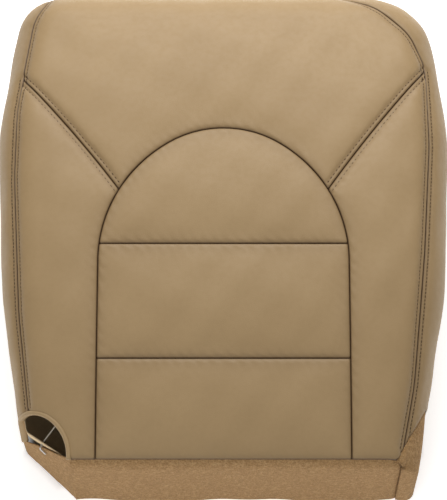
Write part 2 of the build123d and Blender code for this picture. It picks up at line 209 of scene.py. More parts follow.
# seam lines, as curves on the flat pattern
seams = {
    "spacing": 0.0025,
    "leftSide": [(-0.204, -0.300), (-0.226, -0.110), (-0.235, 0.050), (-0.234, 0.130), (-0.219, 0.245),
                 (-0.203, 0.275), (-0.197, 0.330)],
    "leftRadii": [0.30, 0.30, 0.20, 0.07, 0.05],
    "rightSide": [(0.188, -0.300), (0.209, -0.190), (0.2235, -0.040), (0.232, 0.085), (0.231, 0.185),
                  (0.214, 0.226), (0.176, 0.263), (0.132, 0.284), (0.128, 0.330)],
    "rightRadii": [0.30, 0.40, 0.20, 0.06, 0.06, 0.09, 0.02],
    "archHalf": 0.139, "archShoulder": -0.050, "archApex": 0.107, "archTop": 0.116,
    "crossFront": -0.032, "crossRear": -0.162,
    "diagonal": (0.117, 0.033), "leftDiagonalEnd": 0.171, "rightDiagonalEnd": 0.182, "bow": 0.0026,
    "cutout": (-0.217, -0.267), "cutoutRadius": 0.0512, "wingTop": 0.189, "wingAngle": 61.4,
    "leftEndY": -0.232, "leftEndZ": 0.057,
}


def alongUntilWall(plan):
    # on the top as drawn, then straight down the wall from the outline to the hem
    dist, foot, out = nearestCore(plan)
    last = int(np.argmax(dist > 0.985 * form["shoulder"])) - 1
    flat = unroll(plan[:last + 1])
    d, f, o = dist[last], foot[last], out[last]
    start = form["shoulder"] * math.asin(d / form["shoulder"])
    end = quarter + float(crownZ(f[1])) - form["shoulder"] - hemZ
    down = f + o * np.linspace(start, end, 60)[1:, None]
    return resample(np.vstack([flat, down]), seams["spacing"])


def clipStart(path, keepFrom):
    return path[int(np.argmax(keepFrom)):]


def nearestIndex(path, point):
    return int(((path - np.array(point)) ** 2).sum(1).argmin())


leftPlan = filletPath(seams["leftSide"], seams["leftRadii"], 0.001)
rightPlan = filletPath(seams["rightSide"], seams["rightRadii"], 0.001)
cutMiddle = np.array(seams["cutout"])
outsideCut = np.linalg.norm(leftPlan - cutMiddle, axis=1) > seams["cutoutRadius"]
leftPlan = leftPlan[np.flatnonzero(~outsideCut)[-1] + 1:]
wingDir = np.array([math.cos(math.radians(seams["wingAngle"])), math.sin(math.radians(seams["wingAngle"]))])
wingTop = np.array([seams["wingTop"], rearSeamY])
fromWing = rightPlan - wingTop
ahead = wingDir[0] * fromWing[:, 1] - wingDir[1] * fromWing[:, 0] > 0
rightPlan = clipStart(rightPlan, ahead)
leftSeam = alongUntilWall(leftPlan)
rightSeam = alongUntilWall(rightPlan)

half, topR = seams["archHalf"], seams["archTop"]
archMid = seams["archApex"] - topR
rise = archMid - seams["archShoulder"]
sideR = (half ** 2 + rise ** 2 - topR ** 2) / (2 * (half - topR))
turn = math.atan2(rise, sideR - half)
rightArc = [(half - sideR + sideR * math.cos(t), seams["archShoulder"] + sideR * math.sin(t))
            for t in np.linspace(0, turn, 40)]
topArc = [(topR * math.cos(t), archMid + topR * math.sin(t)) for t in np.linspace(turn, math.pi - turn, 90)[1:-1]]
leftArc = [(-x, y) for x, y in rightArc[::-1]]
straight = np.linspace(rearSeamY, seams["archShoulder"], 90)[:-1]
arch = np.array([(half, y) for y in straight] + rightArc + topArc + leftArc + [(-half, y) for y in straight[::-1]])
arch = resample(arch, seams["spacing"])[::-1]          # from the rear left round to the rear right


def bowed(a, b, bow):
    a, b = np.array(a, float), np.array(b, float)
    n = max(3, int(np.linalg.norm(b - a) / seams["spacing"]))
    t = np.linspace(0, 1, n)[:, None]
    side = np.array([-(b - a)[1], (b - a)[0]]) / np.linalg.norm(b - a)
    return a + (b - a) * t + side * bow * (4 * t * (1 - t))


archL = nearestIndex(arch, (-seams["diagonal"][0], seams["diagonal"][1]))
archR = nearestIndex(arch, seams["diagonal"])
frontHalf = len(arch) // 2
sideL = nearestIndex(leftSeam, unroll([(-0.2285, seams["leftDiagonalEnd"])])[0])
sideR2 = nearestIndex(rightSeam, unroll([(0.231, seams["rightDiagonalEnd"])])[0])
diagonalL = bowed(arch[archL], leftSeam[sideL], -seams["bow"])
diagonalR = bowed(arch[archR], rightSeam[sideR2], seams["bow"])
cross = {}
for name in ("crossFront", "crossRear"):
    l = nearestIndex(arch[:frontHalf], (-half, seams[name]))
    r = frontHalf + nearestIndex(arch[frontHalf:], (half, seams[name]))
    cross[name] = (l, r, bowed(arch[l], arch[r], 0.0))

cutStart = math.atan2(*(leftPlan[0] - cutMiddle)[::-1])
cutEnd = math.asin((rearSeamY - cutMiddle[1]) / seams["cutoutRadius"])
cutPlan = np.array([cutMiddle + seams["cutoutRadius"] * np.array([math.cos(t), math.sin(t)])
                    for t in np.linspace(cutEnd, cutStart, 34)])
cutRim = unroll(cutPlan)
cutRim[-1] = leftSeam[0]
rearLeft = bowed(cutRim[0], arch[0], 0.0)
rearMiddle = bowed(arch[0], arch[-1], 0.0)
rearRight = bowed(arch[-1], wingTop, 0.0)
wingPlan = wingTop + wingDir * np.linspace(0, 0.09, 120)[:, None]
wingTurn = int(np.argmax(np.linalg.norm(wingPlan - rightPlan[0], axis=1) < 0.0012))
wingSeam = resample(np.vstack([unroll(wingPlan[:wingTurn]), rightSeam[:1]]), seams["spacing"])
wingWall = alongUntilWall(np.vstack([rightPlan[:1], wingPlan[wingTurn + 2:]]))
wingWall[0] = rightSeam[0]
leftEdgePlan = np.array([cutMiddle + seams["cutoutRadius"] * np.array([math.cos(t), math.sin(t)])
                         for t in np.linspace(cutStart, cutStart + 0.6, 30)])
leftEdgePlan = leftEdgePlan[nearestCore(leftEdgePlan)[0] < 0.99 * form["shoulder"]]
lowCorner = wallPoint([(-sideX(seams["leftEndY"], leftTailX), seams["leftEndY"])], seams["leftEndZ"])
lowEnd = wallPoint([(-sideX(seams["leftEndY"], leftTailX), seams["leftEndY"])], hemZ)
leftEdge = resample(np.vstack([leftSeam[:1], unroll(leftEdgePlan)[1:], lowCorner, lowEnd]), seams["spacing"])


def hemBetween(a, b):
    # pattern points along the hem from pattern point a to b
    dist, foot, out = nearestCore(np.array([a, b]))
    i, j = nearestIndex(core, foot[0]), nearestIndex(core, foot[1])
    rows = np.arange(i, j, 1 if j > i else -1)
    down = quarter + crownZ(core[rows, 1]) - form["shoulder"] - hemZ
    return resample(np.vstack([[a], core[rows] + knotOut[rows] * down[:, None], [b]]), 0.004)[1:-1]


panels = {
    "front_bolster": [(leftSeam[sideL:], 1), (hemBetween(leftSeam[-1], rightSeam[-1]), 0),
                      (rightSeam[sideR2:][::-1], 1), (diagonalR[::-1], 1), (arch[archL:archR + 1][::-1], 1),
                      (diagonalL, 1)],
    "left_bolster": [(cutRim, 2), (leftSeam[:sideL + 1], 1), (diagonalL[::-1], 1), (arch[:archL + 1][::-1], 1),
                     (rearLeft[::-1], 1)],
    "right_bolster": [(arch[archR:][::-1], 1), (diagonalR, 1), (rightSeam[:sideR2 + 1][::-1], 1),
                      (wingSeam[::-1], 1), (rearRight[::-1], 1)],
    "insert_front": [(arch[cross["crossFront"][0]:cross["crossFront"][1] + 1], 1),
                     (cross["crossFront"][2][::-1], 1)],
    "insert_middle": [(arch[cross["crossRear"][0]:cross["crossFront"][0] + 1], 1), (cross["crossFront"][2], 1),
                      (arch[cross["crossFront"][1]:cross["crossRear"][1] + 1], 1),
                      (cross["crossRear"][2][::-1], 1)],
    "insert_rear": [(arch[:cross["crossRear"][0] + 1], 1), (cross["crossRear"][2], 1),
                    (arch[cross["crossRear"][1]:], 1), (rearMiddle[::-1], 1)],
    "left_boxing": [(leftSeam[::-1], 1), (leftEdge, 2), (hemBetween(leftEdge[-1], leftSeam[-1]), 0)],
    "right_boxing": [(rightSeam, 1), (hemBetween(rightSeam[-1], wingWall[-1]), 0), (wingWall[::-1], 1)],
}
print("seams:", {k: sum(len(c) for c, _ in v) for k, v in panels.items()})


# small mesh helpers
def makeObject(name, verts, faces, smooth=True):
    mesh = bpy.data.meshes.new(name)
    mesh.from_pydata([tuple(map(float, v)) for v in verts], [], [tuple(map(int, f)) for f in faces])
    mesh.polygons.foreach_set("use_smooth", [smooth] * len(mesh.polygons))
    mesh.update()
    obj = bpy.data.objects.new(name, mesh)
    bpy.context.scene.collection.objects.link(obj)
    return obj


def setAttribute(obj, name, values):
    layer = obj.data.attributes.new(name, "FLOAT", "POINT")
    layer.data.foreach_set("value", np.asarray(values, np.float32))


def polylineDistance(points, starts, ends):
    # distance to the nearest of many short segments, and which one it is
    points = np.asarray(points, float)
    if not len(starts):
        return np.full(len(points), 1.0), np.zeros(len(points), int)
    run = ends - starts
    size = np.maximum((run ** 2).sum(1), 1e-16)
    best, which = np.zeros(len(points)), np.zeros(len(points), int)
    for s in range(0, len(points), 1500):
        p = points[s:s + 1500, None, :]
        t = np.clip(((p - starts) * run).sum(2) / size, 0, 1)
        d = ((p - starts - run * t[..., None]) ** 2).sum(2)
        which[s:s + 1500] = d.argmin(1)
        best[s:s + 1500] = np.sqrt(d.min(1))
    return best, which


def insideLoop(points, loop):
    a, b = loop, np.roll(loop, -1, axis=0)
    inside = np.zeros(len(points), bool)
    for s in range(0, len(points), 3000):
        x, y = points[s:s + 3000, 0][:, None], points[s:s + 3000, 1][:, None]
        crosses = (a[:, 1] > y) != (b[:, 1] > y)
        with np.errstate(divide="ignore", invalid="ignore"):
            at = (b[:, 0] - a[:, 0]) * (y - a[:, 1]) / (b[:, 1] - a[:, 1]) + a[:, 0]
        inside[s:s + 3000] = (crosses & (x < at)).sum(1) % 2 == 1
    return inside


def loopOf(panel, step=None, hem=None):
    # the panel's outline as one closed run, with the kind of each edge after its point
    points, kinds = [], []
    for curve, kind in panels[panel]:
        curve = np.asarray(curve, float)
        if step and len(curve) > 2:
            curve = resample(curve, step)
        for p in curve[:-1]:
            points.append(p)
            kinds.append(kind)
    points = np.array(points)
    if hem:
        dist, foot, out = nearestCore(points)
        limit = quarter + crownZ(foot[:, 1]) - form["shoulder"] - hem
        points = np.where((dist > limit)[:, None], foot + out * limit[:, None], points)
    keepRow = [0]
    for i in range(1, len(points)):
        if np.linalg.norm(points[i] - points[keepRow[-1]]) > 0.0007:
            keepRow.append(i)
    if np.linalg.norm(points[keepRow[-1]] - points[0]) < 0.0007:
        keepRow.pop()
    return points[keepRow], np.array(kinds)[keepRow]


def fillLoop(loop, rows, grid):
    # rows that follow the outline inwards, then an even field, joined into triangles
    ends = np.roll(loop, -1, axis=0)
    ahead = np.roll(loop, -1, axis=0) - np.roll(loop, 1, axis=0)
    ahead /= np.linalg.norm(ahead, axis=1)[:, None]
    inward = np.stack([ahead[:, 1], -ahead[:, 0]], axis=1)
    layers = [loop]
    for row in rows:
        ring = loop + inward * row
        far = polylineDistance(ring, loop, ends)[0]
        layers.append(ring[(far > 0.93 * row) & insideLoop(ring, loop)])
    low, high = loop.min(0), loop.max(0)
    field = []
    for k, y in enumerate(np.arange(low[1], high[1], grid * 0.866)):
        field += [(x, y) for x in np.arange(low[0] + (k % 2) * grid / 2, high[0], grid)]
    field = np.array(field)
    field = field[insideLoop(field, loop)]
    clear = (rows[-1] if len(rows) else 0) + 0.55 * grid
    layers.append(field[polylineDistance(field, loop, ends)[0] > clear])
    points = np.vstack(layers)
    out = delaunay_2d_cdt([Vector(p * 100) for p in points], [], [list(range(len(loop)))], 1, 1e-5)
    verts = np.array([tuple(v) for v in out[0]]) / 100
    tris = np.array([f for f in out[2] if len(f) == 3])
    a, b, c = verts[tris[:, 0]], verts[tris[:, 1]], verts[tris[:, 2]]
    turned = (b - a)[:, 0] * (c - a)[:, 1] - (b - a)[:, 1] * (c - a)[:, 0] < 0
    tris[turned] = tris[turned][:, ::-1]
    return verts, tris


def gridTris(rows, columns):
    # two triangles for each cell of a grid of points
    tris = []
    for i in range(rows - 1):
        for j in range(columns - 1):
            a, b = i * columns + j, (i + 1) * columns + j
            tris += [(a, a + 1, b + 1), (a, b + 1, b)]
    return tris


def shellOf(name, top, bottom, tris):
    # a closed shell between a top and a bottom skin with the same triangles
    n = len(top)
    edges = {}
    for t in tris:
        for i in range(3):
            edges[(int(t[i]), int(t[(i + 1) % 3]))] = True
    rim = [(a, b) for a, b in edges if (b, a) not in edges]
    faces = [tuple(t) for t in tris] + [tuple(int(i) + n for i in t[::-1]) for t in tris]
    faces += [(b, a, a + n, b + n) for a, b in rim]
    return makeObject(name, np.vstack([top, bottom]), faces)


# how full each panel is, and where it is top-stitched
fullness = {
    "front_bolster": 0.0065, "left_bolster": 0.0052, "right_bolster": 0.0052, "insert_front": 0.0048,
    "insert_middle": 0.0044, "insert_rear": 0.0044, "left_boxing": 0.0030, "right_boxing": 0.0030,
}
sewing = {
    "seamDepth": 0.0024, "seamWidth": 0.0036, "edgeDepth": 0.0006, "sideOffset": 0.0048, "diagonalOffset": 0.0050,
    "sidePitch": 0.0042, "diagonalPitch": 0.0055, "stitchLength": 0.0031, "thread": 0.00058, "groove": 0.0012,
    "pucker": 0.00034, "puckerLength": 0.013, "lump": 0.00045, "wallCalm": 0.86,
    "beyond": 0.0015,
}
stitched = {
    "left_bolster": [(leftSeam, "side"), (diagonalL, "diagonal")],
    "right_bolster": [(rightSeam, "side"), (diagonalR, "diagonal")],
    "front_bolster": [(leftSeam, "side"), (rightSeam, "side"), (diagonalL, "diagonal"), (diagonalR, "diagonal")],
    "left_boxing": [(leftSeam[:sideL + 1], "side")],
    "right_boxing": [(rightSeam[:sideR2 + 1], "side")],
}
outlines = {name: loopOf(name) for name in panels}
trial = {"step": 0.009, "frames": 20, "pressure": 4.0, "cap": 0.030}


def analyticPuff(far):
    return 1 - np.exp(-far / 0.030)


def blowUp():
    # every panel pinned along its seams and blown up together, for the shape of its fullness
    verts, faces, pins, owner = [], [], [], {}
    for name in panels:
        loop, kinds = loopOf(name, step=trial["step"])
        flat, tris = fillLoop(loop, [], trial["step"])
        start = len(verts)
        far = polylineDistance(flat, loop, np.roll(loop, -1, axis=0))[0]
        pins += [start + int(i) for i in np.flatnonzero(far < 0.0004)]
        pos, normal = surface(flat)
        verts += list(pos)
        faces += [tuple(int(i) + start for i in t) for t in tris]
        owner[name] = (start, flat, tris, normal)
    obj = makeObject("puffTrial", verts, faces)
    group = obj.vertex_groups.new(name="pinned")
    group.add(pins, 1.0, "REPLACE")
    cloth = obj.modifiers.new("cloth", "CLOTH")
    cloth.settings.quality = 6
    cloth.settings.mass = 0.35
    cloth.settings.tension_stiffness = cloth.settings.compression_stiffness = 12
    cloth.settings.shear_stiffness = 6
    cloth.settings.bending_stiffness = 0.8
    cloth.settings.vertex_group_mass = "pinned"
    cloth.settings.use_pressure = True
    cloth.settings.uniform_pressure_force = trial["pressure"]
    cloth.settings.effector_weights.gravity = 0
    cloth.collision_settings.use_collision = False
    cloth.point_cache.frame_start, cloth.point_cache.frame_end = 1, trial["frames"]
    for frameNumber in range(1, trial["frames"] + 1):
        bpy.context.scene.frame_set(frameNumber)
    shaped = obj.evaluated_get(bpy.context.evaluated_depsgraph_get()).to_mesh()
    after = np.zeros(len(verts) * 3)
    shaped.vertices.foreach_get("co", after)
    after = after.reshape(-1, 3)
    before = np.array(verts)
    result = {}
    for name, (start, flat, tris, normal) in owner.items():
        rows = slice(start, start + len(flat))
        risen = np.clip(((after[rows] - before[rows]) * normal).sum(1), 0, trial["cap"])
        print(f"  {name}: blown up {1000 * risen.max():.1f} mm")
        if risen.max() > 0.0003:
            result[name] = (flat, tris, risen / risen.max())
    bpy.data.objects.remove(obj)
    bpy.context.scene.frame_set(1)
    return result


blown = blowUp()
print("fullness: simulated panels", len(blown))
puffTrees = {}
for name, (flat, tris, risen) in blown.items():
    tree = BVHTree.FromPolygons([(x, y, 0) for x, y in flat], [tuple(map(int, t)) for t in tris])
    puffTrees[name] = (tree, flat, tris, risen)


def puffAt(name, points, far):
    base = analyticPuff(far)
    if name not in puffTrees:
        return base
    tree, flat, tris, risen = puffTrees[name]
    out = np.zeros(len(points))
    for k, (x, y) in enumerate(points):
        at, normal, index, gap = tree.find_nearest(Vector((x, y, 0)))
        corner = tris[index]
        weight = poly_3d_calc([Vector((*flat[i], 0)) for i in corner], at)
        out[k] = sum(w * risen[i] for w, i in zip(weight, corner))
    return 0.55 * out + 0.45 * base


def smoothed(values, tris, fixed, rounds):
    # evens out a value over the triangles without moving the fixed points
    a = np.r_[tris[:, 0], tris[:, 1], tris[:, 2]]
    b = np.r_[tris[:, 1], tris[:, 2], tris[:, 0]]
    count = np.bincount(a, minlength=len(values)) + np.bincount(b, minlength=len(values))
    for _ in range(rounds):
        total = np.bincount(a, values[b], len(values)) + np.bincount(b, values[a], len(values))
        values = np.where(fixed, values, 0.5 * values + 0.5 * total / np.maximum(count, 1))
    return values


def liftOf(name, points, tris=None):
    # the height of the leather over its smooth form, and painted shade by the seams: how near a seam or stitch groove
    # each point is
    loop, kinds = outlines[name]
    ends = np.roll(loop, -1, axis=0)
    far = polylineDistance(points, loop, ends)[0]
    seamFar = polylineDistance(points, loop[kinds == 1], ends[kinds == 1])[0]
    edgeFar = polylineDistance(points, loop[kinds == 2], ends[kinds == 2])[0]
    puff = puffAt(name, points, far)
    if tris is not None:
        puff = smoothed(puff, tris, far < 0.0002, 12)
    onWall = np.clip((nearestCore(points)[0] / form["shoulder"] - 0.25) / 1.1, 0, 1)
    eased = onWall * onWall * (3 - 2 * onWall)
    lift = fullness[name] * (1 - sewing["wallCalm"] * eased) * puff * np.clip(far / 0.004, 0, 1)
    near = np.clip(1 - seamFar / sewing["seamWidth"], 0, 1)
    lift -= sewing["seamDepth"] * (1 - np.sqrt(np.clip(1 - near ** 2, 0, 1)))
    nearEdge = np.clip(1 - edgeFar / 0.003, 0, 1)
    lift -= sewing["edgeDepth"] * (1 - np.sqrt(np.clip(1 - nearEdge ** 2, 0, 1)))
    sewn = np.zeros(len(points))
    for curve, kind in stitched.get(name, []):
        off = polylineDistance(points, curve[:-1], curve[1:])[0] - sewing[kind + "Offset"]
        near = np.exp(-(off / 0.0012) ** 2)
        lift -= sewing["groove"] * near
        past = np.clip(off, 0, 1)
        lift += sewing["beyond"] * (1 - np.exp(-past / 0.0035)) * np.exp(-past / 0.05)
        sewn = np.maximum(sewn, near)
    x, y = points[:, 0], points[:, 1]
    phase = 2 * math.pi * (x + 0.8 * y) / sewing["puckerLength"] + 2.1 * np.sin(41 * x - 57 * y)
    lift += sewing["pucker"] * np.sin(phase) * np.exp(-seamFar / 0.010) * np.clip(seamFar / 0.003, 0, 1)
    wave = np.sin(63 * x + 21 * y + 1.3) * np.sin(-17 * x + 71 * y + 0.4) + 0.6 * np.sin(118 * x - 83 * y)
    lift += sewing["lump"] * wave * np.clip(far / 0.02, 0, 1)
    # painted shade: the second value darkens the seam crevice, the third darkens a band beside seams and stitch grooves
    return lift, np.exp(-seamFar / 0.0009), np.clip(np.exp(-seamFar / 0.007) + 0.9 * sewn, 0, 1)


def patternUv(obj, flat):
    uv = obj.data.uv_layers.new(name="pattern")
    where = np.zeros(len(obj.data.loops), int)
    obj.data.loops.foreach_get("vertex_index", where)
    uv.data.foreach_set("uv", np.vstack([flat, flat])[where].astype(np.float32).ravel())


# leather panels and the foam sewn behind each
meshing = {"rows": [0.0005, 0.0011, 0.0019, 0.0030, 0.0045, 0.0063], "grid": 0.0042,
           "foamRows": [0.0016, 0.0045], "foamGrid": 0.009, "foamHem": 0.054, "foamGap": 0.00035}
covers, pads = {}, {}
for name in panels:
    loop, kinds = outlines[name]
    flat, tris = fillLoop(loop, meshing["rows"], meshing["grid"])
    lift, seamCreviceShade, nearSeamShade = liftOf(name, flat, tris)
    top, bottom = surface(flat, lift)[0], surface(flat, lift - form["leather"])[0]
    piece = shellOf("leather_" + name, top, bottom, tris)
    patternUv(piece, flat)
    # painted seam shade, kept as point attributes for the leather material
    setAttribute(piece, "seamCreviceShade", np.r_[seamCreviceShade, seamCreviceShade])
    setAttribute(piece, "nearSeamShade", np.r_[nearSeamShade, nearSeamShade])
    covers[name] = piece
    foamLoop = loopOf(name, step=0.005, hem=meshing["foamHem"])[0]
    flat, tris = fillLoop(foamLoop, meshing["foamRows"], meshing["foamGrid"])
    lift = liftOf(name, flat)[0] - form["leather"] - meshing["foamGap"]
    floorLift = -form["leather"] - form["foam"]
    under = surface(flat, np.full(len(flat), floorLift))[0]
    pad = shellOf("foam_" + name, surface(flat, lift)[0], under, tris)
    patternUv(pad, flat)
    pads[name] = pad
    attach(piece, "cover")
    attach(pad, "cover")
    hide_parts(name)
    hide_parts(name + "_foam")


# rolled binding round the cut-out
binding = {"halfWidth": 0.0027, "halfDepth": 0.0040, "sink": 0.0027, "sides": 18}
lowRows = leftEdge[surface(leftEdge)[0][:, 2] > seams["leftEndZ"]]
bindFlat = resample(np.vstack([cutRim, lowRows[1:]]), 0.0020)
bindPos, bindUp = surface(bindFlat, -binding["sink"])
bindAlong = np.gradient(bindPos, axis=0)
bindAlong /= np.linalg.norm(bindAlong, axis=1)[:, None]
bindSide = np.cross(bindUp, bindAlong)
bindSide /= np.linalg.norm(bindSide, axis=1)[:, None]
holeMiddle = np.array([cutMiddle[0], cutMiddle[1], 0.07])
if ((holeMiddle - bindPos) * bindSide)[:, :2].sum() < 0:
    bindSide = -bindSide
bindPos = bindPos + bindSide * 0.0020
bindVerts, bindFaces = [], []
for k in range(len(bindPos)):
    for j in range(binding["sides"]):
        t = 2 * math.pi * j / binding["sides"]
        c, s = math.cos(t), math.sin(t)
        across = binding["halfWidth"] * math.copysign(abs(c) ** 0.7, c)
        deep = binding["halfDepth"] * math.copysign(abs(s) ** 0.7, s)
        bindVerts.append(bindPos[k] + bindSide[k] * across + bindUp[k] * deep)
for k in range(len(bindPos) - 1):
    for j in range(binding["sides"]):
        a, b = k * binding["sides"] + j, k * binding["sides"] + (j + 1) % binding["sides"]
        bindFaces.append((a, b, b + binding["sides"], a + binding["sides"]))
bindFaces.append(tuple(range(binding["sides"]))[::-1])
bindFaces.append(tuple(range(len(bindVerts) - binding["sides"], len(bindVerts))))
cutBinding = makeObject("cutoutBinding", bindVerts, bindFaces)
tidyMesh = bmesh.new()
tidyMesh.from_mesh(cutBinding.data)
bmesh.ops.recalc_face_normals(tidyMesh, faces=tidyMesh.faces)
tidyMesh.to_mesh(cutBinding.data)
tidyMesh.free()
setAttribute(cutBinding, "seamCreviceShade", np.zeros(len(bindVerts)))
setAttribute(cutBinding, "nearSeamShade", np.zeros(len(bindVerts)))
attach(cutBinding, "cover")
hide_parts("cutout_facing")
print("binding:", len(bindFaces), "faces")

# the left side's leather turned in under the cut-out; its colour is lightened as painted light for the shaded inside of
# the cover
turnIn = {"front": -0.150, "rear": -0.262, "depth": 0.055, "top": 0.092, "low": 0.030, "rows": 24, "columns": 22,
          "thick": 0.0012, "offWall": 0.0072, "slant": 1.5, "narrowing": 0.25}
turnTop = []
for k, y in enumerate(np.linspace(turnIn["front"], turnIn["rear"], turnIn["rows"])):
    behind = max(0.0, seams["leftEndY"] - y)
    wallX = -sideX(max(y, seams["leftEndY"]), leftTailX) + turnIn["offWall"] + turnIn["slant"] * behind
    for t in np.linspace(0, math.pi / 2, turnIn["columns"]):
        x = wallX + turnIn["depth"] * (1 - math.cos(t)) * (1 - turnIn["narrowing"] * k / turnIn["rows"])
        z = turnIn["top"] - (turnIn["top"] - turnIn["low"]) * math.sin(t)
        turnTop.append((x, y, z))
turnTop = np.array(turnTop)
turnTris = [t[::-1] for t in gridTris(turnIn["rows"], turnIn["columns"])]
cell = turnTop[list(turnTris[0])]
if np.cross(cell[1] - cell[0], cell[2] - cell[0])[0] < 0:
    turnTris = [t[::-1] for t in turnTris]
shape = turnTop.reshape(turnIn["rows"], turnIn["columns"], 3)
out = np.cross(np.gradient(shape, axis=0), np.gradient(shape, axis=1))
out /= np.linalg.norm(out, axis=2)[:, :, None]
if out[:, :, 0].mean() < 0:
    out = -out
turnBack = turnTop - out.reshape(-1, 3) * turnIn["thick"]
cornerTurnIn = shellOf("cornerTurnIn", turnTop, turnBack, np.array(turnTris))
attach(cornerTurnIn, "cover")

# rear flap: one carpet sheet sewn into the rear seam
flap = {"left": -0.1664, "right": 0.1960, "columns": 150, "rows": 52, "bulge": 0.0080, "bulgeFall": 0.055,
        "roundEnd": 0.012, "wobble": 0.0011, "edgeRound": 0.0014, "hem": 0.0012,
        "endEase": 0.006, "endTurn": 0.009, "endTurnIn": 0.0036, "seamGap": 0.0018, "hemIn": 0.0010, "endSwell": 0.0012,
        "length": 0.121, "cutShare": 0.97}


def flapTop(x):
    # height of the rear seam at x, falling away round the flap's right end
    inTop = np.stack([np.minimum(x, seams["wingTop"]), np.full(len(x), rearSeamY)], axis=1)
    top = surface(unroll(inTop))[0][:, 2] - sewing["seamDepth"] + 0.0006
    past = np.clip((x - (flap["right"] - flap["roundEnd"])) / flap["roundEnd"], 0, 1)
    return top - flap["roundEnd"] * (1 - np.sqrt(np.clip(1 - past ** 2, 0, 1)))


acrossX = np.linspace(flap["left"], flap["right"], flap["columns"])
downT = np.linspace(0, 1, flap["rows"]) ** 1.35
gridX, gridT = np.meshgrid(acrossX, downT, indexing="ij")
topZ = flapTop(acrossX)[:, None]
gridZ = topZ + (flap["hem"] - topZ) * gridT
bulge = flap["bulge"] * (1 - np.exp(-gridT / flap["bulgeFall"])) * (1 - gridT) ** 1.5
wobble = flap["wobble"] * (np.sin(34 * gridX + 0.7) + 0.6 * np.sin(91 * gridX + 2.2)) * np.sqrt(gridT)
endIn = np.clip(np.minimum(gridX - flap["left"], flap["right"] - gridX) / flap["endEase"], 0, 1)
rightEnd = np.clip((gridX - flap["right"] + flap["endTurn"]) / flap["endTurn"], 0, 1)
wobble = wobble + flap["endTurnIn"] * (1 - np.sqrt(1 - rightEnd ** 2)) * np.clip(gridT / 0.1, 0, 1)
bulge = bulge + flap["endSwell"] * endIn * (1 - gridT)
gridY = rearSeamY + flap["seamGap"] + (rearHemY - rearSeamY - flap["hemIn"]) * gridT - bulge + wobble
outer = np.stack([gridX, gridY, gridZ], axis=2)
alongX, alongT = np.gradient(outer, axis=0), np.gradient(outer, axis=1)
face = np.cross(alongX, alongT)
face /= np.linalg.norm(face, axis=2)[:, :, None]
if face[:, :, 1].mean() > 0:
    face = -face
inner = outer - face * form["carpet"]
columnCount, rowCount = gridX.shape
flat = np.stack([gridX.ravel(), gridZ.ravel()], axis=1)
flapSheet = shellOf("flapCarpet", outer.reshape(-1, 3), inner.reshape(-1, 3),
                    np.array(gridTris(columnCount, rowCount)))
patternUv(flapSheet, flat)
rounding = flapSheet.modifiers.new("edge", "BEVEL")
rounding.width, rounding.segments, rounding.angle_limit = flap["edgeRound"], 3, math.radians(55)


def applied(obj):
    # the object's shape with its modifiers, as a plain mesh
    shape = bpy.data.meshes.new_from_object(obj.evaluated_get(bpy.context.evaluated_depsgraph_get()))
    obj.modifiers.clear()
    obj.data = shape
    shape.polygons.foreach_set("use_smooth", [True] * len(shape.polygons))
    return obj


applied(flapSheet)
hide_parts("rear_flap")
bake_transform(flapSheet)
print("flap:", len(flapSheet.data.polygons), "faces")


# carpet corners, softened from the solids they stand for
soften = {"voxel": 0.0013, "passes": 4, "waviness": 0.0004}


def softCopy(node, name):
    obj = bpy.data.objects.new(name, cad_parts[node].data.copy())
    bpy.context.scene.collection.objects.link(obj)
    obj.data.materials.clear()
    welded = bmesh.new()
    welded.from_mesh(obj.data)
    bmesh.ops.remove_doubles(welded, verts=welded.verts, dist=1e-6)
    welded.to_mesh(obj.data)
    welded.free()
    remesh = obj.modifiers.new("remesh", "REMESH")
    remesh.mode, remesh.voxel_size = "VOXEL", soften["voxel"]
    smooth = obj.modifiers.new("smooth", "SMOOTH")
    smooth.factor, smooth.iterations = 0.5, soften["passes"]
    applied(obj)
    place = np.zeros(len(obj.data.vertices) * 3)
    obj.data.vertices.foreach_get("co", place)
    place = place.reshape(-1, 3)
    place[:, 1] += soften["waviness"] * np.sin(97 * place[:, 2] + 60 * place[:, 0])
    obj.data.vertices.foreach_set("co", place.ravel())
    obj.data.update()
    return obj


rearTab = softCopy("left_rear_tab", "tabCarpet")
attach(rearTab, "cover")
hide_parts("left_rear_tab")
wing = {"rows": 60, "columns": 40, "innerX": 0.1935, "rearY": -0.2785, "lean": 0.0080, "cornerRound": 0.012,
        "bulge": 0.0024, "capFrom": 0.075, "cap": 0.045, "leanTop": 0.11}
wingLine = resample(np.vstack([wingSeam, wingWall[1:]]), 0.002, count=wing["rows"])
wingStart = surface(wingLine, -0.0012)[0]
outerRows = []
for start in wingStart:
    # back along the wall, round the corner and in towards the flap
    height = start[2]
    risen = max(0.0, (height - wing["capFrom"]) / wing["cap"])
    shrink = wing["cap"] * (1 - math.sqrt(max(0.0, 1 - risen ** 2)))
    turnX = max(sideX(rearSeamY, rightTailX) - shrink, wing["innerX"] + 0.002)
    bend = min(wing["cornerRound"], 0.45 * (turnX - wing["innerX"]) + 0.001)
    rearY = wing["rearY"] - wing["lean"] * (1 - min(height, wing["leanTop"]) / wing["leanTop"])
    path = [start[:2], np.array([turnX, rearY + bend])]
    for t in np.linspace(0, math.pi / 2, 8)[1:]:
        path.append(np.array([turnX - bend + bend * math.cos(t), rearY + bend - bend * math.sin(t)]))
    path.append(np.array([min(wing["innerX"], turnX - bend), rearY]))
    path = resample(np.array(path), 0.001, count=wing["columns"])
    fall = np.linspace(0, 1, wing["columns"]) * np.clip((height - 0.09) / 0.03, 0, 1)
    outerRows.append(np.column_stack([path, height - np.minimum(0.010, height * 0.2) * fall]))
outerGrid = np.array(outerRows)
wingFace = np.cross(np.gradient(outerGrid, axis=1), np.gradient(outerGrid, axis=0))
wingFace /= np.maximum(np.linalg.norm(wingFace, axis=2)[:, :, None], 1e-12)
if wingFace[:, :, 0].mean() < 0:
    wingFace = -wingFace
